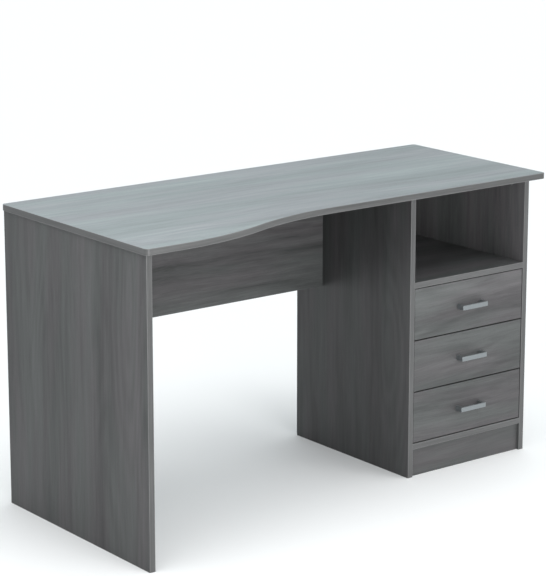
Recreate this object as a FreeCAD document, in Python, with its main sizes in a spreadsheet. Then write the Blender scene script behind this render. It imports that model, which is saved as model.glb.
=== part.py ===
import FreeCAD, Part

import math
import os
import re

import Sketcher

# Writing desk: a curved top on one side panel and a pedestal with three drawers.
# Millimetres, +Z up, +X to the user's right; the user sits on the -Y side.
# The origin is on the floor under the middle of the desktop.

SIZES = {
    # desktop
    "top_width": 1302,
    "top_height": 750,
    "board": 15,
    "band": 1,
    "band_round": 0.6,
    "front_step": 98,
    "curve_start": 95,
    "curve_end": 605,
    "corner_radius": 10,
    "side_overhang": 5,
    "back_overhang": 3,
    "front_overhang": 7,
    # pedestal and modesty panel
    "pedestal_width": 400,
    "pedestal_depth": 455,
    "pedestal_overhang": 54,
    "drawer_bay_height": 405,
    "kick_height": 73,
    "kick_recess": 8,
    "modesty_height": 300,
    "modesty_setback": 91,
    "back_sheet": 3,
    "back_sheet_inset": 1.5,
    "back_sheet_lift": 6,
    # drawer fronts and boxes
    "front_gap": 3,
    "front_top_gap": 2,
    "front_left_gap": 1,
    "front_right_gap": 3,
    "front_round": 0.8,
    "box_board": 12,
    "box_height": 95,
    "box_lift": 14,
    "box_sheet": 3,
    "groove_depth": 6,
    "groove_lift": 8,
    "groove_play": 0.1,
    "sheet_play": 0.5,
    # runners: steel channels on the cabinet, flanged rails on the drawer
    "runner_space": 12.5,
    "runner_setback": 2,
    "runner_back_space": 40,
    "steel": 1.2,
    "channel_height": 18.4,
    "channel_width": 9.8,
    "channel_notch": 24,
    "rail_play": 0.6,
    "rail_reach": 10.5,
    "roller_radius": 9,
    "roller_width": 7,
    "roller_round": 0.8,
    "roller_play": 0.05,
    "roller_inset": 12,
    "roller_side_play": 1,
    "axle_radius": 2,
    "axle_head_radius": 3.5,
    "axle_head": 0.5,
    # bridge handles
    "handle_length": 84,
    "handle_height": 12,
    "handle_reach": 24,
    "handle_grip": 5,
    "handle_leg": 9,
    "handle_round": 1.5,
    "handle_edge": 0.5,
    # fastenings
    "fit": 0.1,
    "dowel_radius": 4,
    "dowel_in_face": 10,
    "dowel_in_edge": 20,
    "peg_radius": 3,
    "peg_in_face": 8,
    "peg_in_edge": 16,
    "peg_inset": 20,
    "bolt_radius": 3,
    "bolt_in_face": 10,
    "bolt_past_lock": 2,
    "lock_offset": 24,
    "lock_radius": 7.5,
    "lock_floor": 1.5,
    "lock_recess_radius": 2.6,
    "lock_recess_depth": 2,
    "joint_inset": 50,
    "joint_step": 32,
    "kick_inset": 18,
    "screw_radius": 1.75,
    "screw_head_radius": 3.2,
    "screw_head": 2,
    "screw_length": 11,
    "screw_inset": 60,
    "rail_screw_lift": 4,
    "handle_screw_radius": 2,
    "handle_screw_head_radius": 4,
    "handle_screw_head": 2.4,
    "handle_screw_grip": 8,
    "nail_radius": 0.7,
    "nail_head_radius": 1.6,
    "nail_head": 0.8,
    "nail_length": 18,
    "nail_inset": 40,
}

# Sizes that follow from others so that the pieces go on fitting together.
FOLLOWING = {
    "top_depth": "front_step + pedestal_overhang + pedestal_depth + back_overhang",
    "compartment_height": "top_height - kick_height - 3 * board - drawer_bay_height",
    "runner_length": "pedestal_depth - board - runner_back_space",
    "box_depth": "runner_length",
    "lock_depth": "board / 2 + bolt_radius + lock_floor",
}

DRAWERS = 3
NAILS_UP = 6
NAILS_ACROSS = 3

doc = FreeCAD.newDocument("WritingDesk")
sheet = doc.addObject("Spreadsheet::Sheet", "Sizes")
for row, alias in enumerate([*SIZES, *FOLLOWING], start=1):
    sheet.set(f"A{row}", alias)
    sheet.setAlias(f"B{row}", alias)
    if alias in SIZES:
        sheet.set(f"B{row}", str(SIZES[alias]))
doc.recompute()
for alias, formula in FOLLOWING.items():
    sheet.set(alias, f"={formula}")
doc.recompute()

# Places that several pieces share, as expressions of the sheet's sizes.
LEFT = "(side_overhang - top_width / 2)"
RIGHT = "(top_width / 2 - side_overhang)"
BACK = "(top_depth / 2 - back_overhang)"
SIDE_FRONT = "(front_overhang - top_depth / 2)"
UNDER_TOP = "(top_height - board)"
PEDESTAL_LEFT = f"({RIGHT} - pedestal_width)"
PEDESTAL_FRONT = f"({BACK} - pedestal_depth)"
INNER_LEFT = f"({PEDESTAL_LEFT} + board)"
INNER_RIGHT = f"({RIGHT} - board)"
INNER_WIDTH = "(pedestal_width - 2 * board)"
FLOOR_TOP = "(kick_height + board)"
SHELF_UNDER = f"({UNDER_TOP} - compartment_height - board)"
MODESTY_UNDER = f"({UNDER_TOP} - modesty_height)"
MODESTY_FRONT = f"({BACK} - modesty_setback - board)"
FRONT_WIDTH = f"({INNER_WIDTH} - front_left_gap - front_right_gap)"
FRONT_HEIGHT = f"(({SHELF_UNDER} - {FLOOR_TOP} - {DRAWERS} * front_gap - front_top_gap) / {DRAWERS})"
BOX_FRONT = f"({PEDESTAL_FRONT} + board)"
BOX_LEFT = f"({INNER_LEFT} + runner_space)"
BOX_RIGHT = f"({INNER_RIGHT} - runner_space)"
BOX_INNER_WIDTH = f"({INNER_WIDTH} - 2 * runner_space - 2 * box_board)"
MIDDLE = f"({PEDESTAL_LEFT} + pedestal_width / 2)"

WAYS = {
    "+X": FreeCAD.Vector(1, 0, 0),
    "-X": FreeCAD.Vector(-1, 0, 0),
    "+Y": FreeCAD.Vector(0, 1, 0),
    "-Y": FreeCAD.Vector(0, -1, 0),
    "+Z": FreeCAD.Vector(0, 0, 1),
    "-Z": FreeCAD.Vector(0, 0, -1),
}
OPPOSITE = {"+X": "-X", "-X": "+X", "+Y": "-Y", "-Y": "+Y", "+Z": "-Z", "-Z": "+Z"}
SKETCH_ORIGIN = (-1, 1)
START, END = 1, 2

nodes = []
holes = {}


def expression(text):
    """Points every size named in the text at its cell of the sheet."""

    def pointed(word):
        name = word[0]
        return f"Sizes.{name}" if name in SIZES or name in FOLLOWING else name

    return re.sub(r"[a-z_]+", pointed, text)


def number(text):
    """The value of an expression with the sheet's present sizes."""
    return float(sheet.evalExpression(text))


def bind(piece, **properties):
    for name, text in properties.items():
        piece.setExpression(name, expression(text))


def place(piece, at, rotation=FreeCAD.Rotation()):
    piece.Placement = FreeCAD.Placement(FreeCAD.Vector(), rotation)
    for axis, text in zip("xyz", at):
        piece.setExpression(f"Placement.Base.{axis}", expression(text))


def shifted(coordinate, way, distance):
    return f"({coordinate} {way[0]} ({distance}))"


def moved(at, way, distance):
    """The point that lies a distance along one of the six ways."""
    index = "XYZ".index(way[1])
    point = list(at)
    point[index] = shifted(at[index], way, distance)
    return tuple(point)


def box(name, at, size):
    piece = doc.addObject("Part::Box", name)
    bind(piece, Length=size[0], Width=size[1], Height=size[2])
    place(piece, at)
    return piece


def rod(name, at, way, radius, length):
    """A cylinder that starts at a point and runs along one of the six ways."""
    piece = doc.addObject("Part::Cylinder", name)
    bind(piece, Radius=radius, Height=length)
    place(piece, at, FreeCAD.Rotation(WAYS["+Z"], WAYS[way]))
    return piece


def cone(name, at, way, radius, end_radius, length):
    piece = doc.addObject("Part::Cone", name)
    bind(piece, Radius1=radius, Radius2=end_radius, Height=length)
    place(piece, at, FreeCAD.Rotation(WAYS["+Z"], WAYS[way]))
    return piece


def fuse(name, pieces):
    if len(pieces) == 1:
        return pieces[0]
    joined = doc.addObject("Part::MultiFuse", name)
    joined.Shapes = pieces
    return joined


def cut(name, base, tools):
    result = doc.addObject("Part::Cut", name)
    result.Base = base
    result.Tool = fuse(f"{name}_tools", tools)
    return result


def node(label, piece):
    piece.Label = label
    nodes.append(piece)


def group(label, pieces):
    """Separate solids of one kind that share a node."""
    together = doc.addObject("Part::Compound", f"{label}_group")
    together.Links = pieces
    node(label, together)


def drill(piece_name, *tools):
    """Notes holes that are cut from a piece once all its fastenings are known."""
    holes.setdefault(piece_name, []).extend(tools)


def drilled(label, blank):
    """Makes the node of a piece, with the holes noted for it."""
    tools = holes.pop(label, [])
    node(label, cut(f"{label}_cut", blank, tools) if tools else blank)


def new_sketch(body, name, role):
    sketch = body.newObject("Sketcher::SketchObject", name)
    plane = next(item for item in body.Origin.OriginFeatures if item.Role == role)
    sketch.AttachmentSupport = [(plane, "")]
    sketch.MapMode = "FlatFace"
    return sketch


def dimension(sketch, kind, name, text, *where):
    """A named dimension of the sketch whose value follows the sheet."""
    index = sketch.addConstraint(Sketcher.Constraint(kind, *where, number(text)))
    sketch.renameConstraint(index, name)
    sketch.setExpression(f"Constraints.{name}", expression(text))


def polygon(sketch, corners):
    """A closed outline of level and upright lines through corners given as expressions."""
    points = [FreeCAD.Vector(number(across), number(along), 0) for across, along in corners]
    ends = points[1:] + points[:1]
    lines = [sketch.addGeometry(Part.LineSegment(*line_ends)) for line_ends in zip(points, ends)]
    for index, edge in enumerate(lines):
        following = lines[(index + 1) % len(lines)]
        sketch.addConstraint(Sketcher.Constraint("Coincident", edge, END, following, START))
        level = abs(points[index].y - ends[index].y) < Part.Precision.confusion()
        if level:
            kind, held, text = "Horizontal", "DistanceY", corners[index][1]
        else:
            kind, held, text = "Vertical", "DistanceX", corners[index][0]
        sketch.addConstraint(Sketcher.Constraint(kind, edge))
        if text == "0":
            sketch.addConstraint(Sketcher.Constraint("PointOnObject", edge, START, -1 if level else -2))
        else:
            dimension(sketch, held, f"side_{index}", text, *SKETCH_ORIGIN, edge, START)


def pad(body, sketch, length):
    feature = body.newObject("PartDesign::Pad", "Pad")
    feature.Profile = sketch
    bind(feature, Length=length)
    doc.recompute()
    return feature


def fillet(body, feature, radius, wanted):
    """Rounds the edges of a feature whose boxes the test wants."""
    edges = [f"Edge{index}" for index, edge in enumerate(feature.Shape.Edges, start=1)
             if wanted(edge.BoundBox)]
    rounding = body.newObject("PartDesign::Fillet", "Fillet")
    rounding.Base = (feature, edges)
    bind(rounding, Radius=radius)
    doc.recompute()
    return rounding


def slab(name, at, size, radius, wanted):
    """A padded rectangle with some of its edges rounded."""
    body = doc.addObject("PartDesign::Body", name)
    sketch = new_sketch(body, f"{name}_outline", "XY_Plane")
    polygon(sketch, [("0", "0"), (size[0], "0"), (size[0], size[1]), ("0", size[1])])
    fillet(body, pad(body, sketch, size[2]), radius, wanted)
    place(body, at)
    return body


def faces_the_user(edge):
    """True for the edges of a slab's front face, which lies at its own zero along Y."""
    return edge.YMax < Part.Precision.confusion()


# Fastenings between an edge of one board and a face of another. The point lies where the
# two boards meet, and the way leads from the face into the board that meets it with its edge.

dowels = []
cam_bolts = []
cam_locks = []


def dowel(face_board, edge_board, point, way):
    back = OPPOSITE[way]
    start = moved(point, back, "dowel_in_face")
    dowels.append(rod("dowel", start, way, "dowel_radius", "dowel_in_face + dowel_in_edge"))
    hole = rod("dowel_hole", moved(start, back, "fit"), way, "dowel_radius + fit",
               "dowel_in_face + dowel_in_edge + 2 * fit")
    drill(face_board, hole)
    drill(edge_board, hole)


def cam_fitting(face_board, edge_board, point, way, lock_way):
    """A bolt in the face board, held by a cam lock sunk into the edge board."""
    back = OPPOSITE[way]
    start = moved(point, back, "bolt_in_face")
    length = "bolt_in_face + lock_offset + bolt_past_lock"
    cam_bolts.append(rod("cam_bolt", start, way, "bolt_radius", length))
    bore = rod("cam_bolt_hole", moved(start, back, "fit"), way, "bolt_radius + fit", f"{length} + 2 * fit")
    mouth = moved(moved(point, way, "lock_offset"), OPPOSITE[lock_way], "board / 2")
    lock = rod("cam_lock_blank", mouth, lock_way, "lock_radius", "lock_depth")
    recess = rod("cam_lock_recess", mouth, lock_way, "lock_recess_radius", "lock_recess_depth")
    cam_locks.append(cut("cam_lock", lock, [bore, recess]))
    pocket = rod("cam_lock_pocket", mouth, lock_way, "lock_radius + fit", "lock_depth + fit")
    drill(face_board, bore)
    drill(edge_board, bore, pocket)


def countersunk_screw(at, way, boards):
    """A screw whose flat head lies flush, with its hole in each of the boards."""
    head = cone("screw_head", at, way, "screw_head_radius", "screw_radius", "screw_head")
    shank = rod("screw_shank", at, way, "screw_radius", "screw_length")
    sink = cone("screw_sink", at, way, "screw_head_radius + fit", "screw_radius + fit", "screw_head")
    bore = rod("screw_bore", at, way, "screw_radius + fit", "screw_length + fit")
    for board_name in boards:
        drill(board_name, sink, bore)
    return fuse("screw", [head, shank])


# Desktop: a board with an S-shaped front edge, and the thin band glued round it.

def desktop_body(name, inset):
    """The desktop's outline, drawn in from the real edge by the inset, padded to the board."""
    width = number("top_width") - 2 * number(inset)
    depth = number("top_depth") - 2 * number(inset)
    edge = number(inset)
    step = number("front_step")
    start, end = number("curve_start"), number("curve_end")
    bend = "((curve_end - curve_start) ^ 2 / front_step + front_step) / 4"
    near_radius = number(bend) - edge
    far_radius = number(bend) + edge
    corner = number("corner_radius") - edge
    right, back, front_right = edge + width, edge + depth, edge + step
    half_turn = math.atan2(step, end - start) * 2

    body = doc.addObject("PartDesign::Body", name)
    sketch = new_sketch(body, f"{name}_outline", "XY_Plane")

    def line(x1, y1, x2, y2):
        return sketch.addGeometry(Part.LineSegment(FreeCAD.Vector(x1, y1, 0), FreeCAD.Vector(x2, y2, 0)))

    def arc(x, y, radius, first, last):
        circle = Part.Circle(FreeCAD.Vector(x, y, 0), WAYS["+Z"], radius)
        return sketch.addGeometry(Part.ArcOfCircle(circle, first, last))

    quarter = math.pi / 2
    front = line(edge + corner, edge, start, edge)
    near = arc(start, edge + near_radius, near_radius, 3 * quarter, 3 * quarter + half_turn)
    far = arc(end, front_right - far_radius, far_radius, quarter, quarter + half_turn)
    front_far = line(end, front_right, right - corner, front_right)
    corner_1 = arc(right - corner, front_right + corner, corner, 3 * quarter, 4 * quarter)
    side_right = line(right, front_right + corner, right, back - corner)
    corner_2 = arc(right - corner, back - corner, corner, 0, quarter)
    rear = line(right - corner, back, edge + corner, back)
    corner_3 = arc(edge + corner, back - corner, corner, quarter, 2 * quarter)
    side_left = line(edge, back - corner, edge, edge + corner)
    corner_4 = arc(edge + corner, edge + corner, corner, 2 * quarter, 3 * quarter)

    joints = [
        (front, END, near, START), (near, END, far, END), (far, START, front_far, START),
        (front_far, END, corner_1, START), (corner_1, END, side_right, START),
        (side_right, END, corner_2, START), (corner_2, END, rear, START),
        (rear, END, corner_3, START), (corner_3, END, side_left, START),
        (side_left, END, corner_4, START), (corner_4, END, front, START),
    ]
    for joint in joints:
        sketch.addConstraint(Sketcher.Constraint("Tangent", *joint))
    for level in (front, front_far, rear):
        sketch.addConstraint(Sketcher.Constraint("Horizontal", level))
    for upright in (side_right, side_left):
        sketch.addConstraint(Sketcher.Constraint("Vertical", upright))
    for other in (corner_2, corner_3, corner_4):
        sketch.addConstraint(Sketcher.Constraint("Equal", corner_1, other))
    dimension(sketch, "Radius", "corner", f"corner_radius - {inset}", corner_1)
    dimension(sketch, "Radius", "bend", f"{bend} - {inset}", near)
    dimension(sketch, "DistanceX", "curve_start", "curve_start", *SKETCH_ORIGIN, front, END)
    dimension(sketch, "DistanceX", "curve_end", "curve_end", *SKETCH_ORIGIN, front_far, START)
    dimension(sketch, "DistanceX", "right", f"top_width - {inset}", *SKETCH_ORIGIN, side_right, START)
    dimension(sketch, "DistanceY", "back", f"top_depth - {inset}", *SKETCH_ORIGIN, rear, START)
    dimension(sketch, "DistanceY", "front_far", f"front_step + {inset}", *SKETCH_ORIGIN, front_far, START)
    if inset == "0":
        sketch.addConstraint(Sketcher.Constraint("PointOnObject", side_left, START, -2))
        sketch.addConstraint(Sketcher.Constraint("PointOnObject", front, START, -1))
    else:
        dimension(sketch, "DistanceX", "left", inset, *SKETCH_ORIGIN, side_left, START)
        dimension(sketch, "DistanceY", "front", inset, *SKETCH_ORIGIN, front, START)
    place(body, ("(0 - top_width / 2)", "(0 - top_depth / 2)", UNDER_TOP))
    return body, pad(body, sketch, "board")


outer_body, outer_pad = desktop_body("desktop_outer", "0")
fillet(outer_body, outer_pad, "band_round", lambda edge: edge.ZLength < Part.Precision.confusion())
core_body, core_pad = desktop_body("desktop_core", "band")

# Fastenings of the panels, the shelves, the modesty panel and the kick board.

SHELF_YS = (f"({PEDESTAL_FRONT} + joint_inset)", f"({BACK} - joint_inset)")
for board_name, under in (("fixed_shelf", SHELF_UNDER), ("bottom_shelf", "kick_height")):
    for face_board, x, way in (("pedestal_left_panel", INNER_LEFT, "+X"),
                               ("pedestal_right_panel", INNER_RIGHT, "-X")):
        for y, inward in zip(SHELF_YS, "+-"):
            point = (x, y, f"({under} + board / 2)")
            cam_fitting(face_board, board_name, point, way, "+Z")
            dowel(face_board, board_name, moved(point, f"{inward}Y", "joint_step"), way)

for face_board, x, way in (("left_side_panel", f"({LEFT} + board)", "+X"),
                           ("pedestal_left_panel", PEDESTAL_LEFT, "-X")):
    for z, inward in ((MODESTY_UNDER, "+"), (UNDER_TOP, "-")):
        point = moved((x, f"({MODESTY_FRONT} + board / 2)", z), f"{inward}Z", "joint_inset")
        cam_fitting(face_board, "modesty_panel", point, way, "-Y")
        dowel(face_board, "modesty_panel", moved(point, f"{inward}Z", "joint_step"), way)

for board_name, x, front, lock_way in (
        ("left_side_panel", LEFT, SIDE_FRONT, "-X"),
        ("pedestal_left_panel", PEDESTAL_LEFT, PEDESTAL_FRONT, "-X"),
        ("pedestal_right_panel", INNER_RIGHT, PEDESTAL_FRONT, "+X")):
    for y, inward in ((front, "+"), (BACK, "-")):
        point = moved((f"({x} + board / 2)", y, UNDER_TOP), f"{inward}Y", "joint_inset")
        cam_fitting("desktop", board_name, point, "-Z", lock_way)
        dowel("desktop", board_name, moved(point, f"{inward}Y", "joint_step"), "-Z")

for face_board, x, way in (("pedestal_left_panel", INNER_LEFT, "+X"),
                           ("pedestal_right_panel", INNER_RIGHT, "-X")):
    for z in ("kick_inset", "(kick_height - kick_inset)"):
        point = (x, f"({PEDESTAL_FRONT} + kick_recess + board / 2)", z)
        dowel(face_board, "kick_board", point, way)

# Nails that hold the thin back sheet to the pedestal's rear edges.

nails = []
SHEET_BACK = f"({BACK} + back_sheet)"


def nail(x, z, board_name):
    at = (x, SHEET_BACK, z)
    head = rod("nail_head", at, "-Y", "nail_head_radius", "nail_head")
    shank = rod("nail_shank", at, "-Y", "nail_radius", "nail_length")
    nails.append(fuse("nail", [head, shank]))
    drill("pedestal_back_panel", rod("nail_sink", at, "-Y", "nail_head_radius + fit", "nail_head + fit"))
    bore = rod("nail_bore", at, "-Y", "nail_radius + fit", "nail_length + fit")
    drill("pedestal_back_panel", bore)
    drill(board_name, bore)


for board_name, x in (("pedestal_left_panel", f"({PEDESTAL_LEFT} + board / 2)"),
                      ("pedestal_right_panel", f"({RIGHT} - board / 2)")):
    for index in range(NAILS_UP):
        z = f"(nail_inset + ({UNDER_TOP} - 2 * nail_inset) * {index} / {NAILS_UP - 1})"
        nail(x, z, board_name)
for board_name, under in (("fixed_shelf", SHELF_UNDER), ("bottom_shelf", "kick_height")):
    for index in range(1, NAILS_ACROSS + 1):
        x = f"({PEDESTAL_LEFT} + pedestal_width * {index} / {NAILS_ACROSS + 1})"
        nail(x, f"({under} + board / 2)", board_name)

# Drawers: front, box, runners, rollers and handle.

cabinet_screws = []


def runner_side(drawer, side, box_under, drawer_screws):
    """One side's channel, rail, rollers and screws; box_under is the box's lower edge."""
    if side == "left":
        wall, box_face, way = INNER_LEFT, BOX_LEFT, "+X"
    else:
        wall, box_face, way = INNER_RIGHT, BOX_RIGHT, "-X"
    back = OPPOSITE[way]
    panel = f"pedestal_{side}_panel"
    channel_node = f"{drawer}_cabinet_runners_{side}"
    rail_node = f"{drawer}_slide_runners_{side}"
    channel_front = f"({BOX_FRONT} + runner_setback)"

    def upright(name, face, toward, reach, y, length, z, height):
        """A box that starts at a face, reaches towards the gap and runs back from y."""
        x = face if toward == "+X" else f"({face} - ({reach}))"
        return box(name, (x, y, z), (reach, length, height))

    below = f"({box_under} - steel)"
    notch_end = f"({channel_front} + channel_notch)"
    flange_length = "runner_length - channel_notch"
    channel = fuse(f"{channel_node}_sheet", [
        upright("channel_web", wall, way, "steel", channel_front, "runner_length", below,
                "channel_height + 2 * steel"),
        upright("channel_foot", wall, way, "channel_width", notch_end, flange_length, below, "steel"),
        upright("channel_head", wall, way, "channel_width", notch_end, flange_length,
                f"({box_under} + channel_height)", "steel"),
    ])
    rail_top = f"({box_under} + channel_height + steel + rail_play)"
    rail = fuse(f"{rail_node}_sheet", [
        upright("rail_web", box_face, back, "steel", BOX_FRONT, "runner_length", below,
                "channel_height + 3 * steel + rail_play"),
        upright("rail_flange", box_face, back, "rail_reach", BOX_FRONT, "runner_length", rail_top,
                "steel"),
        upright("rail_foot", shifted(box_face, back, "steel"), way, "box_board + steel", BOX_FRONT,
                "runner_length", below, "steel"),
    ])

    inner = shifted(wall, way, "steel + roller_side_play")
    outer = shifted(inner, way, "roller_width")
    front_y = f"({channel_front} + roller_inset)"
    front_z = f"({rail_top} - roller_radius - roller_play)"
    rear_y = f"({BOX_FRONT} + box_depth - roller_inset)"
    rear_z = f"({box_under} + channel_height / 2)"

    def roller(name, y, z):
        wheel = rod(f"{name}_wheel", (inner, y, z), way, "roller_radius", "roller_width")
        doc.recompute()
        rims = [index for index, edge in enumerate(wheel.Shape.Edges, start=1)
                if isinstance(edge.Curve, Part.Circle)]
        radius = number("roller_round")
        rounded = doc.addObject("Part::Fillet", f"{name}_rounded")
        rounded.Base = wheel
        rounded.Edges = [(index, radius, radius) for index in rims]
        bore = rod(f"{name}_bore", (inner, y, z), way, "axle_radius + roller_play", "roller_width")
        return cut(name, rounded, [bore])

    # each axle is riveted into its runner and keeps the roller on with a flat head
    front_axle = [
        rod("axle", (wall, front_y, front_z), way, "axle_radius",
            "steel + roller_side_play + roller_width + fit + axle_head"),
        rod("axle_head", moved((outer, front_y, front_z), way, "fit"), way, "axle_head_radius",
            "axle_head"),
    ]
    rear_axle = [
        rod("axle", (box_face, rear_y, rear_z), back, "axle_radius",
            "runner_space - steel - roller_side_play + fit + axle_head"),
        rod("axle_head", moved((inner, rear_y, rear_z), back, "fit"), back, "axle_head_radius",
            "axle_head"),
    ]
    for offset in ("screw_inset", "(runner_length - screw_inset)"):
        at = moved((wall, f"({channel_front} + {offset})", rear_z), way, "steel")
        cabinet_screws.append(countersunk_screw(at, back, [channel_node, panel]))
        rail_point = (box_face, f"({BOX_FRONT} + {offset})", f"({box_under} + rail_screw_lift)")
        at = moved(rail_point, back, "steel")
        drawer_screws.append(countersunk_screw(at, way, [rail_node, f"{drawer}_{side}_side"]))

    channel = cut(channel_node, channel, holes.pop(channel_node))
    rail = cut(rail_node, rail, holes.pop(rail_node))
    return {
        "channel": fuse(f"{channel_node}_riveted", [channel, *front_axle]),
        "rail": fuse(f"{rail_node}_riveted", [rail, *rear_axle]),
        "front_roller": roller(f"{drawer}_front_roller_{side}", front_y, front_z),
        "rear_roller": roller(f"{drawer}_rear_roller_{side}", rear_y, rear_z),
    }


def drawer_handle(drawer, middle_z):
    """A bridge handle: a flat grip between two legs that stand on the drawer front."""
    body = doc.addObject("PartDesign::Body", f"{drawer}_handle_body")
    sketch = new_sketch(body, f"{drawer}_handle_outline", "XY_Plane")
    polygon(sketch, [
        ("0", "0"), ("handle_length", "0"), ("handle_length", "handle_reach"),
        ("(handle_length - handle_leg)", "handle_reach"), ("(handle_length - handle_leg)", "handle_grip"),
        ("handle_leg", "handle_grip"), ("handle_leg", "handle_reach"), ("0", "handle_reach"),
    ])
    bar = pad(body, sketch, "handle_height")
    tiny = Part.Precision.confusion()
    bar = fillet(body, bar, "handle_round", lambda edge: edge.ZLength > tiny and edge.YMax < tiny)
    fillet(body, bar, "handle_edge",
           lambda edge: edge.ZLength < tiny and edge.YMax < number("handle_round") + tiny)
    place(body, (f"({MIDDLE} - handle_length / 2)", f"({PEDESTAL_FRONT} - handle_reach)",
                 f"({middle_z} - handle_height / 2)"))

    screws = []
    reach = "board + handle_screw_grip"
    for sign in "+-":
        at = (f"({MIDDLE} {sign} (handle_length - handle_leg) / 2)", BOX_FRONT, middle_z)
        head = rod("handle_screw_head", at, "+Y", "handle_screw_head_radius", "handle_screw_head")
        shank = rod("handle_screw_shank", at, "-Y", "handle_screw_radius", reach)
        bore = rod("handle_screw_bore", at, "-Y", "handle_screw_radius + fit", f"{reach} + fit")
        screws.append(fuse("handle_screw", [head, shank]))
        drill(f"{drawer}_front", bore)
        drill(f"{drawer}_handle", bore)
    drilled(f"{drawer}_handle", body)
    group(f"{drawer}_handle_screws", screws)


def box_pegs(drawer, box_under, back_front):
    """Glued pegs between the box sides and the front, and between the sides and the back."""
    pegs = []

    def peg(face_board, edge_board, point, way):
        back = OPPOSITE[way]
        start = moved(point, back, "peg_in_face")
        pegs.append(rod("peg", start, way, "peg_radius", "peg_in_face + peg_in_edge"))
        hole = rod("peg_hole", moved(start, back, "fit"), way, "peg_radius + fit",
                   "peg_in_face + peg_in_edge + 2 * fit")
        drill(face_board, hole)
        drill(edge_board, hole)

    levels = (f"({box_under} + groove_lift + box_sheet + peg_inset)",
              f"({box_under} + box_height - peg_inset)")
    for z in levels:
        for side, x, way in (("left", BOX_LEFT, "+X"), ("right", BOX_RIGHT, "-X")):
            side_board = f"{drawer}_{side}_side"
            side_middle = moved((x, BOX_FRONT, z), way, "box_board / 2")
            peg(f"{drawer}_front", side_board, side_middle, "+Y")
            inner_face = moved((x, f"({back_front} + box_board / 2)", z), way, "box_board")
            peg(side_board, f"{drawer}_back", inner_face, way)
    group(f"{drawer}_box_pegs", pegs)


def make_drawer(index):
    drawer = f"drawer_{index}"
    front_under = f"({FLOOR_TOP} + front_gap + {DRAWERS - index} * ({FRONT_HEIGHT} + front_gap))"
    box_under = f"({front_under} + box_lift)"
    back_front = f"({BOX_FRONT} + box_depth - box_board)"
    inner_x = f"({BOX_LEFT} + box_board)"

    drawer_screws = []
    sides = [runner_side(drawer, side, box_under, drawer_screws) for side in ("left", "right")]
    group(f"{drawer}_cabinet_runners", [side["channel"] for side in sides])
    group(f"{drawer}_front_rollers", [side["front_roller"] for side in sides])
    group(f"{drawer}_slide_runners", [side["rail"] for side in sides])
    group(f"{drawer}_rear_rollers", [side["rear_roller"] for side in sides])
    group(f"{drawer}_runner_screws", drawer_screws)
    drawer_handle(drawer, f"({front_under} + {FRONT_HEIGHT} / 2)")
    box_pegs(drawer, box_under, back_front)

    # the bottom sheet lies in a groove that runs round inside the front, sides and back
    sheet_under = f"({box_under} + groove_lift)"
    groove = box(f"{drawer}_groove",
                 (f"({inner_x} - groove_depth)", f"({BOX_FRONT} - groove_depth)",
                  f"({sheet_under} - groove_play)"),
                 (f"{BOX_INNER_WIDTH} + 2 * groove_depth", "box_depth - box_board + 2 * groove_depth",
                  "box_sheet + 2 * groove_play"))
    bottom = box(f"{drawer}_bottom_sheet",
                 (f"({inner_x} - groove_depth + sheet_play)",
                  f"({BOX_FRONT} - groove_depth + sheet_play)", sheet_under),
                 (f"{BOX_INNER_WIDTH} + 2 * (groove_depth - sheet_play)",
                  "box_depth - box_board + 2 * (groove_depth - sheet_play)", "box_sheet"))
    front = slab(f"{drawer}_front_board",
                 (f"({INNER_LEFT} + front_left_gap)", PEDESTAL_FRONT, front_under),
                 (FRONT_WIDTH, "board", FRONT_HEIGHT), "front_round", faces_the_user)
    blanks = {
        "front": front,
        "left_side": box(f"{drawer}_left_side_board", (BOX_LEFT, BOX_FRONT, box_under),
                         ("box_board", "box_depth", "box_height")),
        "right_side": box(f"{drawer}_right_side_board",
                          (f"({BOX_RIGHT} - box_board)", BOX_FRONT, box_under),
                          ("box_board", "box_depth", "box_height")),
        "back": box(f"{drawer}_back_board", (inner_x, back_front, box_under),
                    (BOX_INNER_WIDTH, "box_board", "box_height")),
    }
    for part_name, blank in blanks.items():
        drill(f"{drawer}_{part_name}", groove)
        drilled(f"{drawer}_{part_name}", blank)
    node(f"{drawer}_bottom", bottom)


for drawer_index in range(1, DRAWERS + 1):
    make_drawer(drawer_index)

# Carcass boards, each with the holes of its fastenings. A visible front edge wears a band.

CORE_DEPTH = "(pedestal_depth - band)"
CORE_FRONT = f"({PEDESTAL_FRONT} + band)"

drilled("desktop", core_body)
node("desktop_edge_band", cut("desktop_band_ring", outer_body, [core_body]))

for board_name, band_name, x, front in (
        ("left_side_panel", "left_side_edge_band", LEFT, SIDE_FRONT),
        ("pedestal_left_panel", "pedestal_left_edge_band", PEDESTAL_LEFT, PEDESTAL_FRONT),
        ("pedestal_right_panel", "pedestal_right_edge_band", INNER_RIGHT, PEDESTAL_FRONT)):
    drilled(board_name, box(f"{board_name}_board", (x, f"({front} + band)", "0"),
                            ("board", f"{BACK} - {front} - band", UNDER_TOP)))
    node(band_name, slab(f"{board_name}_band", (x, front, "0"), ("board", "band", UNDER_TOP),
                         "band_round", faces_the_user))

for board_name, band_name, under in (("fixed_shelf", "fixed_shelf_edge_band", SHELF_UNDER),
                                     ("bottom_shelf", "bottom_shelf_edge_band", "kick_height")):
    drilled(board_name, box(f"{board_name}_board", (INNER_LEFT, CORE_FRONT, under),
                            (INNER_WIDTH, CORE_DEPTH, "board")))
    node(band_name, slab(f"{board_name}_band", (INNER_LEFT, PEDESTAL_FRONT, under),
                         (INNER_WIDTH, "band", "board"), "band_round", faces_the_user))

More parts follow.
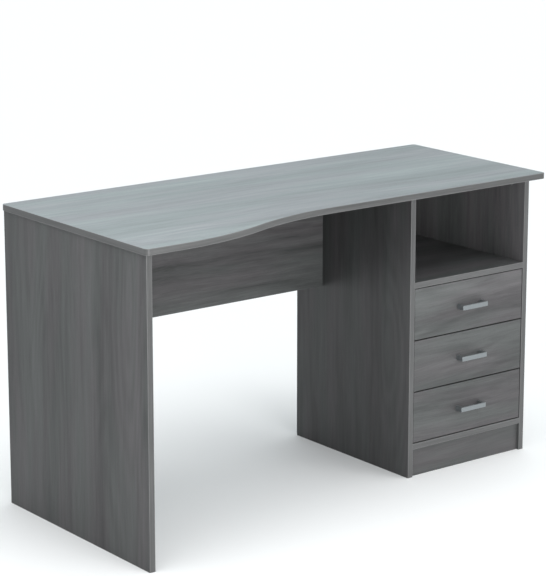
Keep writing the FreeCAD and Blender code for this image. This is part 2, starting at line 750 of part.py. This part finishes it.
drilled("kick_board", box("kick_board_board", (INNER_LEFT, f"({PEDESTAL_FRONT} + kick_recess)", "0"),
                          (INNER_WIDTH, "board", "kick_height")))
drilled("modesty_panel", box("modesty_panel_board", (f"({LEFT} + board)", MODESTY_FRONT, MODESTY_UNDER),
                             (f"{PEDESTAL_LEFT} - {LEFT} - board", "board", "modesty_height")))
drilled("pedestal_back_panel",
        box("back_sheet_board", (f"({PEDESTAL_LEFT} + back_sheet_inset)", BACK, "back_sheet_lift"),
            ("pedestal_width - 2 * back_sheet_inset", "back_sheet", f"{UNDER_TOP} - back_sheet_lift")))

group("dowels", dowels)
group("cam_bolts", cam_bolts)
group("cam_locks", cam_locks)
group("back_panel_nails", nails)
group("runner_screws", cabinet_screws)

# Nothing is written unless every object has rebuilt and every node is a valid shape.

doc.recompute()
for item in doc.Objects:
    if "Invalid" in item.State or "Error" in item.State:
        raise RuntimeError(f"{item.Name} did not rebuild: {item.State}")
if holes:
    raise RuntimeError(f"holes were left for unknown boards: {sorted(holes)}")
os.makedirs("parts", exist_ok=True)
for piece in nodes:
    if piece.Shape.isNull() or not piece.Shape.isValid() or not piece.Shape.Solids:
        raise RuntimeError(f"{piece.Label} has no valid solid")
for piece in nodes:
    piece.Shape.exportStep(f"parts/{piece.Label}.step")
print(f"{len(nodes)} nodes, {sum(len(piece.Shape.Solids) for piece in nodes)} solids")
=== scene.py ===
import math

import bpy
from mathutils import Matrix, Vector

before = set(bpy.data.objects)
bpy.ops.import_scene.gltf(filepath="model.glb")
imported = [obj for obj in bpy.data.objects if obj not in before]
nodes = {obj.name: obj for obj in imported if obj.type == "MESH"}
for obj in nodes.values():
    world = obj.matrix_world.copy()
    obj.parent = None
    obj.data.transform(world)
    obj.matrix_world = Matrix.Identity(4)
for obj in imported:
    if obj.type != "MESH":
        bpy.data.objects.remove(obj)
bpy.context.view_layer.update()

bpy.context.scene.view_settings.view_transform = "Standard"

DRAWERS = ("drawer_1", "drawer_2", "drawer_3")
ALONG = {"X": (1, 0, 0), "Y": (0, 1, 0), "Z": (0, 0, 1)}


# ---------------------------------------------------------------------------
# Node-tree helpers
# ---------------------------------------------------------------------------

class Tree:
    """A node tree, with short calls for the nodes used here. Places are in metres."""

    def __init__(self, owner, coordinates):
        owner.use_nodes = True
        self.nodes = owner.node_tree.nodes
        self.links = owner.node_tree.links
        self.place = self.nodes.new("ShaderNodeTexCoord").outputs[coordinates]

    def feed(self, socket, value):
        """Links a socket, or sets a value on it."""
        if isinstance(value, bpy.types.NodeSocket):
            self.links.new(value, socket)
        else:
            socket.default_value = value

    def math(self, operation, *values):
        node = self.nodes.new("ShaderNodeMath")
        node.operation = operation
        for socket, value in zip(node.inputs, values):
            self.feed(socket, value)
        return node.outputs["Value"]

    def vector(self, operation, *values, output="Vector"):
        node = self.nodes.new("ShaderNodeVectorMath")
        node.operation = operation
        for socket, value in zip(node.inputs, values):
            self.feed(socket, value)
        return node.outputs[output]

    def moved(self, seed, step=(1.0, 1.0, 1.0)):
        """The place, moved so that each seed shows another part of a pattern."""
        return self.vector("ADD", self.place, tuple(seed * part for part in step))

    def noise(self, where, scale, detail=2.0, roughness=0.5, output="Fac"):
        node = self.nodes.new("ShaderNodeTexNoise")
        self.feed(node.inputs["Vector"], where)
        node.inputs["Scale"].default_value = scale
        node.inputs["Detail"].default_value = detail
        node.inputs["Roughness"].default_value = roughness
        return node.outputs[output]

    def ramp(self, value, *stops):
        """Turns a value into a grey or a colour by stops of (position, grey or colour)."""
        node = self.nodes.new("ShaderNodeValToRGB")
        elements = node.color_ramp.elements
        while len(elements) < len(stops):
            elements.new(0.5)
        for element, (position, colour) in zip(elements, stops):
            element.position = position
            element.color = (*(colour if isinstance(colour, tuple) else grey(colour)), 1.0)
        self.feed(node.inputs["Fac"], value)
        return node.outputs["Color"]

    def mix(self, factor, first, second, blend="MIX"):
        node = self.nodes.new("ShaderNodeMix")
        node.data_type = "RGBA"
        node.blend_type = blend
        self.feed(node.inputs["Factor"], factor)
        for socket, value in ((node.inputs["A"], first), (node.inputs["B"], second)):
            self.feed(socket, (*value, 1.0) if isinstance(value, tuple) else value)
        return node.outputs["Result"]

    def layer(self, tone, pattern, share):
        """Adds a pattern to a tone; a pattern's own middle, 0.5, leaves the tone as it is."""
        return self.math("MULTIPLY_ADD", self.math("SUBTRACT", pattern, 0.5), share, tone)


class Surface(Tree):
    """A material's node tree."""

    def __init__(self, name):
        self.material = bpy.data.materials.new(name)
        super().__init__(self.material, "Object")
        self.shader = self.nodes["Principled BSDF"]

    def set(self, **values):
        """Feeds the shader's inputs, with _ for a space in their names."""
        for name, value in values.items():
            self.feed(self.shader.inputs[name.replace("_", " ")], value)

    def bump(self, height, strength, distance):
        node = self.nodes.new("ShaderNodeBump")
        node.inputs["Strength"].default_value = strength
        node.inputs["Distance"].default_value = distance
        self.feed(node.inputs["Height"], height)
        self.set(Normal=node.outputs["Normal"])


def grey(level, tint=(1.0, 1.0, 1.0)):
    return tuple(level * part for part in tint)


def stretched(axis, ratio):
    """A scale that draws a pattern out along an axis."""
    return tuple(ratio if part else 1.0 for part in ALONG[axis])


# ---------------------------------------------------------------------------
# Wood-grain laminate and its edge bands
# ---------------------------------------------------------------------------

# Patterns of the grain: how much of their width they keep along it, waves in a metre across it,
# detail and roughness.
GRAIN_BANDS = (0.06, 11.0, 2.0, 0.5)
GRAIN_STREAKS = (0.05, 75.0, 3.0, 0.6)
GRAIN_FIBRES = (0.03, 420.0, 2.0, 0.6)
GRAIN_PORES = (0.06, 1400.0, 1.0, 0.5)
GRAIN_HILLS = (0.16, 6.0, 1.5, 0.5)
FIGURED_PATCHES = (0.4, 4.0, 1.0, 0.5)
HUE_PATCHES = (0.12, 17.0, 2.0, 0.5)

# How strongly each pattern shows in the tone.
BAND_SHARE = 1.15
STREAK_SHARE = 0.75
FIBRE_SHARE = 0.42
FIGURE_SHARE = 0.20
HUE_SHARE = 0.8
PORE_SHARE = 0.22

RINGS = 110.0  # radians of ring pattern over the full height of the hills
PORE_COLOUR = (0.03, 0.03, 0.03)
WARM_PATCH = (1.04, 0.98, 1.02)
COOL_PATCH = (0.96, 1.01, 1.0)


def laminate(name, axis, tones, seed, figure=0.35, sheen=0.3):
    """Grey wood-grain decor: broad bands, wavy figure, fine fibres and short pores along an axis."""
    t = Surface(name)
    place = t.moved(seed, (1.7, 2.3, 3.1))

    def pattern(where, kept, scale, detail, roughness, output="Fac"):
        drawn_out = t.vector("MULTIPLY", where, stretched(axis, kept))
        return t.noise(drawn_out, scale, detail, roughness, output)

    def sway(where, kept, scale, reach):
        """Lets the grain wander to either side by up to half the reach, in metres."""
        drift = pattern(where, kept, scale, 1.0, 0.5, output="Color")
        push = t.vector("SUBTRACT", drift, (0.5, 0.5, 0.5))
        return t.vector("ADD", where, t.vector("MULTIPLY", push, (reach, reach, reach)))

    swayed = sway(sway(place, 0.35, 3.0, 0.06), 0.30, 14.0, 0.012)
    rippled = sway(swayed, 0.30, 45.0, 0.004)
    fibres = pattern(rippled, *GRAIN_FIBRES)
    rings = t.math("SINE", t.math("MULTIPLY", pattern(swayed, *GRAIN_HILLS), RINGS))
    figured = t.ramp(pattern(place, *FIGURED_PATCHES), (0.44, 0.0), (0.60, 1.0))
    pores = t.ramp(pattern(place, *GRAIN_PORES), (0.30, 1.0), (0.40, 0.0))
    hue = t.ramp(pattern(swayed, *HUE_PATCHES), (0.40, WARM_PATCH), (0.60, COOL_PATCH))

    tone = t.layer(0.5, pattern(swayed, *GRAIN_BANDS), BAND_SHARE)
    tone = t.layer(tone, pattern(rippled, *GRAIN_STREAKS), STREAK_SHARE)
    tone = t.layer(tone, fibres, FIBRE_SHARE)
    tone = t.math("MULTIPLY_ADD", t.math("MULTIPLY", rings, figured), FIGURE_SHARE * figure, tone)
    dark, light = tones
    middle = tuple((low + high) / 2 for low, high in zip(dark, light))
    colour = t.ramp(tone, (0.15, dark), (0.5, middle), (0.85, light))
    colour = t.mix(HUE_SHARE, colour, hue, "MULTIPLY")
    t.set(Base_Color=t.mix(t.math("MULTIPLY", pores, PORE_SHARE), colour, PORE_COLOUR))
    t.set(Roughness=t.math("MULTIPLY_ADD", fibres, 0.16, 0.34))
    t.set(Specular_IOR_Level=sheen)
    t.bump(t.math("MULTIPLY_ADD", fibres, 0.5, t.math("MULTIPLY", pores, -0.8)), 0.25, 0.0003)
    return t.material


def extent(name, axis):
    """A CAD node's lowest and highest coordinate along an axis."""
    index = "XYZ".index(axis)
    values = [vertex.co[index] for vertex in nodes[name].data.vertices]
    return min(values), max(values)


def banded(t, place, drawn, tones, node, across):
    """Fine printed lines on a band, and a painted highlight along its two long corners."""
    lines = t.noise(t.vector("MULTIPLY", place, drawn), 420.0, 3.0, 0.6)
    clouds = t.noise(t.vector("MULTIPLY", place, tuple(max(part, 0.1) for part in drawn)), 30.0)
    dark, light = tones
    printed = t.ramp(t.layer(lines, clouds, 0.8), (0.25, dark), (0.75, light))

    low, high = extent(node, across)
    half = (high - low) / 2
    split = t.nodes.new("ShaderNodeSeparateXYZ")
    t.feed(split.inputs["Vector"], t.place)
    off_middle = t.math("ABSOLUTE", t.math("SUBTRACT", split.outputs[across], low + half))
    # corner marks a painted highlight: a paler grey laid along the band's two long corners.
    corner = t.ramp(t.math("DIVIDE", off_middle, half), (0.74, 0.0), (0.97, 1.0))
    t.set(Base_Color=t.mix(t.math("MULTIPLY", corner, 0.30), printed, grey(0.30)))
    t.set(Roughness=t.math("MULTIPLY_ADD", lines, 0.12, 0.34))
    t.bump(lines, 0.2, 0.0002)
    return t.material


def edge_band(node, axis, across, tones, seed):
    """The thin plastic band on a board's straight edge."""
    t = Surface(f"{node}_print")
    return banded(t, t.moved(seed, (1.1, 1.9, 0.7)), stretched(axis, 0.02), tones, node, across)


def ring_band(node, tones, seed):
    """The desktop's edge band, whose lines run level all the way round."""
    t = Surface(f"{node}_print")
    return banded(t, t.moved(seed, (1.0, 0.6, 1.3)), (0.02, 0.02, 1.0), tones, node, "Z")


# ---------------------------------------------------------------------------
# Metals, plastics and plain boards
# ---------------------------------------------------------------------------

def satin_metal(name, colour, axis):
    """Brushed metal: fine lines along one axis and a soft sheen."""
    t = Surface(name)
    lines = t.noise(t.vector("MULTIPLY", t.place, stretched(axis, 0.015)), 2600.0, 2.0, 0.6)
    clouds = t.noise(t.place, 35.0)
    t.set(Base_Color=t.ramp(t.layer(lines, clouds, 0.25), (0.2, grey(0.86, colour)), (0.8, colour)))
    t.set(Metallic=0.75)
    t.set(Roughness=t.math("MULTIPLY_ADD", lines, 0.16, 0.26))
    t.bump(lines, 0.15, 0.00005)
    return t.material


def plated(name, colour, roughness):
    """Zinc-plated or cast metal with a faint blotchy surface."""
    t = Surface(name)
    clouds = t.noise(t.place, 220.0, 3.0)
    t.set(Base_Color=t.ramp(clouds, (0.3, grey(0.78, colour)), (0.7, colour)))
    t.set(Metallic=1.0)
    t.set(Roughness=t.math("MULTIPLY_ADD", clouds, 0.2, roughness - 0.1))
    t.bump(clouds, 0.2, 0.0001)
    return t.material


def powder_coat(name, colour):
    """Painted sheet steel: a light orange-peel surface, rubbed a little along the runner."""
    t = Surface(name)
    peel = t.noise(t.place, 900.0)
    rub = t.noise(t.vector("MULTIPLY", t.place, stretched("Y", 0.06)), 160.0, 3.0)
    t.set(Base_Color=t.ramp(rub, (0.3, grey(0.9, colour)), (0.6, colour)))
    t.set(Roughness=t.math("MULTIPLY_ADD", rub, 0.2, 0.3))
    t.bump(peel, 0.2, 0.0001)
    return t.material


def moulded(name, colour, roughness):
    """Moulded plastic with a fine eroded texture."""
    t = Surface(name)
    grain = t.noise(t.place, 1500.0)
    clouds = t.noise(t.place, 60.0)
    t.set(Base_Color=t.ramp(clouds, (0.3, grey(0.93, colour)), (0.7, colour)))
    t.set(Roughness=t.math("MULTIPLY_ADD", grain, 0.15, roughness - 0.07))
    t.bump(grain, 0.15, 0.0001)
    return t.material


def hardboard(name, colour, seed):
    """Thin pressed board: lacquered, with a faint felted fibre pattern."""
    t = Surface(name)
    place = t.moved(seed)
    felt = t.noise(place, 380.0, 4.0, 0.7)
    clouds = t.noise(place, 14.0, 3.0)
    t.set(Base_Color=t.ramp(t.layer(felt, clouds, 0.6), (0.25, grey(0.88, colour)), (0.75, colour)))
    t.set(Roughness=t.math("MULTIPLY_ADD", felt, 0.2, 0.42))
    t.bump(felt, 0.25, 0.0002)
    return t.material


def beech(name):
    """Plain beech, flecked."""
    t = Surface(name)
    fleck = t.noise(t.place, 500.0, 3.0)
    t.set(Base_Color=t.ramp(fleck, (0.3, (0.42, 0.27, 0.14)), (0.7, (0.56, 0.38, 0.21))))
    t.set(Roughness=t.math("MULTIPLY_ADD", fleck, 0.2, 0.5))
    t.bump(fleck, 0.2, 0.0001)
    return t.material


# ---------------------------------------------------------------------------
# Which piece is made of what
# ---------------------------------------------------------------------------

# COOL tints the desktop print blue-green as a painted reflection of the cool glow that the desktop
# mirrors; the other prints stay neutral grey.
COOL = (0.93, 1.0, 1.02)
WARM = (1.02, 1.0, 0.99)

# The darkest and the lightest colour of each print. The boards are all one grey laminate and the
# bands all one band, so the different levels here are painted light and shade: INNER, MODESTY, SIDE,
# KICK, RIM and LEFT_BAND are set darker as painted shade, and TOP, SHELF and RIGHT are set lighter as
# painted light.
TOP = (grey(0.12, COOL), grey(0.26, COOL))
SIDE = (grey(0.046), grey(0.104))
INNER = (grey(0.036), grey(0.076))
MODESTY = (grey(0.036), grey(0.120))
FRONT = (grey(0.058), grey(0.125))
KICK = (grey(0.058), grey(0.110))
SHELF = (grey(0.070), grey(0.145))
RIGHT = (grey(0.080), grey(0.165))
BAND = (grey(0.072), grey(0.116))
LEFT_BAND = (grey(0.052), grey(0.088))
RIM = (grey(0.060), grey(0.100))
MELAMINE = (grey(0.50), grey(0.58))

SATIN_NICKEL = (0.27, 0.29, 0.30)
ZINC_PLATE = (0.66, 0.67, 0.68)
CAST_ZINC = (0.38, 0.38, 0.40)


def paint(material, *names):
    """Gives CAD nodes one material."""
    for name in names:
        slots = nodes[name].data.materials
        slots.clear()
        slots.append(material)


def drawer_parts(*parts):
    """The names of the same parts in every drawer."""
    return [f"{drawer}_{part}" for drawer in DRAWERS for part in parts]


paint(laminate("desktop_laminate", "X", TOP, seed=1.0, sheen=0.5), "desktop")
paint(laminate("left_side_laminate", "Z", SIDE, seed=2.0), "left_side_panel")
paint(laminate("pedestal_left_laminate", "Z", INNER, seed=3.0), "pedestal_left_panel")
paint(laminate("pedestal_right_laminate", "Z", RIGHT, seed=4.0), "pedestal_right_panel")
paint(laminate("modesty_laminate", "X", MODESTY, seed=9.0, figure=0.2), "modesty_panel")
paint(laminate("shelf_laminate", "X", SHELF, seed=6.0), "fixed_shelf", "bottom_shelf")
paint(laminate("kick_laminate", "X", KICK, seed=37.0), "kick_board")
for index, drawer in enumerate(DRAWERS, start=1):
    front = laminate(f"front_{index}_laminate", "X", FRONT, seed=20.0 + 3.7 * index, figure=0.6)
    paint(front, f"{drawer}_front")

paint(ring_band("desktop_edge_band", RIM, seed=1.0), "desktop_edge_band")
for node, axis, across, tones, seed in (
    ("left_side_edge_band", "Z", "X", LEFT_BAND, 2.0),
    ("pedestal_left_edge_band", "Z", "X", BAND, 3.0),
    ("pedestal_right_edge_band", "Z", "X", BAND, 4.0),
    ("fixed_shelf_edge_band", "X", "Z", BAND, 6.0),
    ("bottom_shelf_edge_band", "X", "Z", BAND, 7.0),
):
    paint(edge_band(node, axis, across, tones, seed), node)

paint(hardboard("back_sheet", grey(0.30), seed=1.0), "pedestal_back_panel")
paint(laminate("box_melamine", "Y", MELAMINE, seed=11.0, figure=0.2),
      *drawer_parts("left_side", "right_side"))
paint(laminate("box_back_melamine", "X", MELAMINE, seed=12.0, figure=0.2), *drawer_parts("back"))
paint(hardboard("drawer_bottom_sheet", grey(0.60), seed=5.0), *drawer_parts("bottom"))

paint(satin_metal("satin_nickel", SATIN_NICKEL, "X"), *drawer_parts("handle"))
paint(powder_coat("runner_coat", grey(0.66, WARM)), *drawer_parts("cabinet_runners", "slide_runners"))
paint(moulded("roller_nylon", grey(0.72, WARM), 0.4), *drawer_parts("front_rollers", "rear_rollers"))
paint(plated("zinc_plate", ZINC_PLATE, 0.35), "runner_screws", "back_panel_nails",
      *drawer_parts("handle_screws", "runner_screws"))
paint(plated("cast_zinc", CAST_ZINC, 0.45), "cam_bolts", "cam_locks")
paint(beech("beech"), "dowels", *drawer_parts("box_pegs"))


# ---------------------------------------------------------------------------
# Floor, lights and camera
# ---------------------------------------------------------------------------

FLOOR_HALF = 60.0
FLOOR_PAINT = grey(0.90)

ROOM_LIGHT = grey(0.25, (0.93, 0.98, 1.0))
# direction, tightness, strength and tint of each glow of the room
ROOM_GLOWS = (
    ((0.0, 0.0, 1.0), 1.0, 0.55, (0.94, 0.98, 1.0)),  # overhead
    ((0.61, 0.79, 0.25), 6.0, 0.90, (0.80, 0.96, 1.0)),  # the wall that the desktop mirrors
    ((-0.35, -0.95, 0.05), 3.0, 0.50, (0.97, 0.99, 1.0)),  # in front
)

CAMERA_PLACE = (-3.3587, -4.2783, 1.8596)
CAMERA_TURN = 37.567  # degrees from +Y towards +X
CAMERA_DROP = 12.52  # degrees below the horizon
CAMERA_LENS = 141.49  # millimetres, on the sensor's width
CAMERA_SENSOR = 36.0
CAMERA_SHIFT = -0.1007


def show(name, data):
    """Puts new data into the scene as an object."""
    thing = bpy.data.objects.new(name, data)
    bpy.context.scene.collection.objects.link(thing)
    return thing


def floor():
    mesh = bpy.data.meshes.new("floor")
    corners = [(x * FLOOR_HALF, y * FLOOR_HALF, 0) for x, y in ((-1, -1), (1, -1), (1, 1), (-1, 1))]
    mesh.from_pydata(corners, [], [(0, 1, 2, 3)])
    t = Surface("floor_paint")
    t.set(Base_Color=(*FLOOR_PAINT, 1.0), Roughness=0.8, Specular_IOR_Level=0.1)
    mesh.materials.append(t.material)
    show("floor", mesh)


def sun(name, toward, strength, spread, colour):
    """A far, soft light; toward is the direction from the object to it."""
    data = bpy.data.lights.new(name, "SUN")
    data.energy = strength
    data.angle = math.radians(spread)
    data.color = colour
    show(name, data).rotation_euler = Vector(toward).to_track_quat("Z", "Y").to_euler()


def soft_light(name, at, target, size, power):
    """A round light panel that faces a target and stays out of the picture."""
    data = bpy.data.lights.new(name, "AREA")
    data.shape = "DISK"
    data.size = size
    data.energy = power
    light = show(name, data)
    light.location = at
    light.rotation_euler = (Vector(target) - Vector(at)).to_track_quat("-Z", "Y").to_euler()
    light.visible_camera = False


def room():
    """Soft surroundings: an even light, and a glow on each side that ROOM_GLOWS names."""
    world = bpy.data.worlds.new("studio")
    bpy.context.scene.world = world
    t = Tree(world, "Generated")
    light = ROOM_LIGHT
    for direction, tightness, strength, tint in ROOM_GLOWS:
        facing = t.vector("DOT_PRODUCT", t.place, Vector(direction).normalized(), output="Value")
        glow = t.math("POWER", t.math("MAXIMUM", facing, 0.0), tightness)
        light = t.vector("ADD", t.vector("MULTIPLY", glow, grey(strength, tint)), light)
    t.feed(t.nodes["Background"].inputs["Color"], light)


def camera():
    data = bpy.data.cameras.new("camera")
    data.lens = CAMERA_LENS
    data.sensor_width = CAMERA_SENSOR
    data.shift_y = CAMERA_SHIFT
    eye = show("camera", data)
    eye.location = CAMERA_PLACE
    eye.rotation_euler = (math.radians(90.0 - CAMERA_DROP), 0.0, math.radians(-CAMERA_TURN))
    bpy.context.scene.camera = eye


floor()
sun("key", toward=(0.5, -1.0, 0.45), strength=0.30, spread=25.0, colour=(1.0, 0.995, 0.985))
sun("overhead", toward=(0.1, -0.25, 1.0), strength=1.3, spread=60.0, colour=(0.99, 1.0, 1.0))
soft_light("near_corner", at=(-1.0, -0.28, 1.55), target=(-0.62, -0.26, 0.75), size=0.6, power=4.2)
soft_light("low_front", at=(-0.4, -2.4, 0.65), target=(0.2, 0.2, 0.5), size=1.3, power=26.0)
room()
camera()
